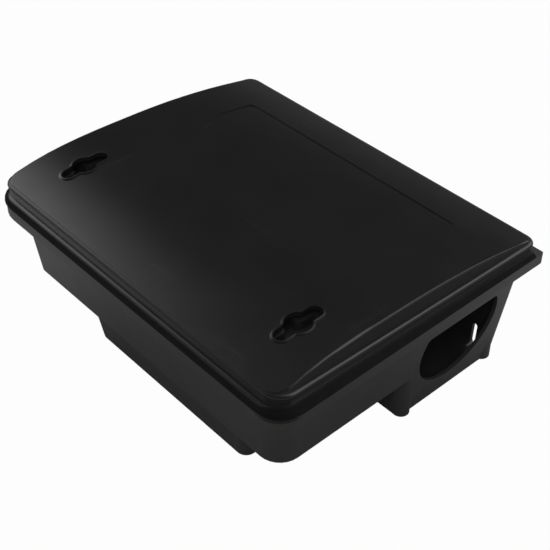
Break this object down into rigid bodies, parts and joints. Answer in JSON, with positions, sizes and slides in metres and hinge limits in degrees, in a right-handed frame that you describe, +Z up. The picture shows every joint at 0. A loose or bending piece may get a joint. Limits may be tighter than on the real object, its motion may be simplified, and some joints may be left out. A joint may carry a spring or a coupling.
{
  "type": "rodent bait station",
  "caption": "Lockable rodent bait station: moulded base with a through tunnel, bait well and rods under a vaulted hinged lid with key-turned locks.",
  "frame": {"origin": "on the ground under the middle of the outline", "axes": "+X along the tunnel towards the right entrance, +Y from the key-slot side to the hinge side, +Z up"},
  "size_m": [0.2432, 0.198, 0.0882],
  "materials": {
    "base_plastic": "satin black polypropylene with a fine moulded grain",
    "lid_plastic": "smooth black polypropylene with a soft sheen",
    "lock_plastic": "plain black nylon",
    "insert_plastic": "plain black polypropylene",
    "steel": "plated steel wire"
  },
  "bodies": {
    "base_body": {"base": "base_plastic", "hinge_pin_left": "steel", "hinge_pin_right": "steel", "lock_keeper_left": "lock_plastic", "lock_keeper_right": "lock_plastic", "baffle": "insert_plastic", "bait_tray": "insert_plastic", "bait_rod_front": "steel", "bait_rod_back": "steel"},
    "lid_body": {"lid": "lid_plastic", "lock_retainer_left": "lock_plastic", "lock_retainer_right": "lock_plastic"},
    "left_lock": {"lock_barrel_left": "lock_plastic"},
    "right_lock": {"lock_barrel_right": "lock_plastic"}
  },
  "joints": [
    {"name": "lid_hinge", "type": "hinge", "parent": "base_body", "child": "lid_body", "pos_m": [0, 0.0961, 0.0648], "axis": [-1, 0, 0], "range_deg": [0, 105]},
    {"name": "left_lock_turn", "type": "hinge", "parent": "lid_body", "child": "left_lock", "pos_m": [-0.089, -0.0564, 0.079], "axis": [0, 0, -1], "range_deg": [0, 90]},
    {"name": "right_lock_turn", "type": "hinge", "parent": "lid_body", "child": "right_lock", "pos_m": [0.089, -0.0564, 0.079], "axis": [0, 0, 1], "range_deg": [0, 90]}
  ]
}
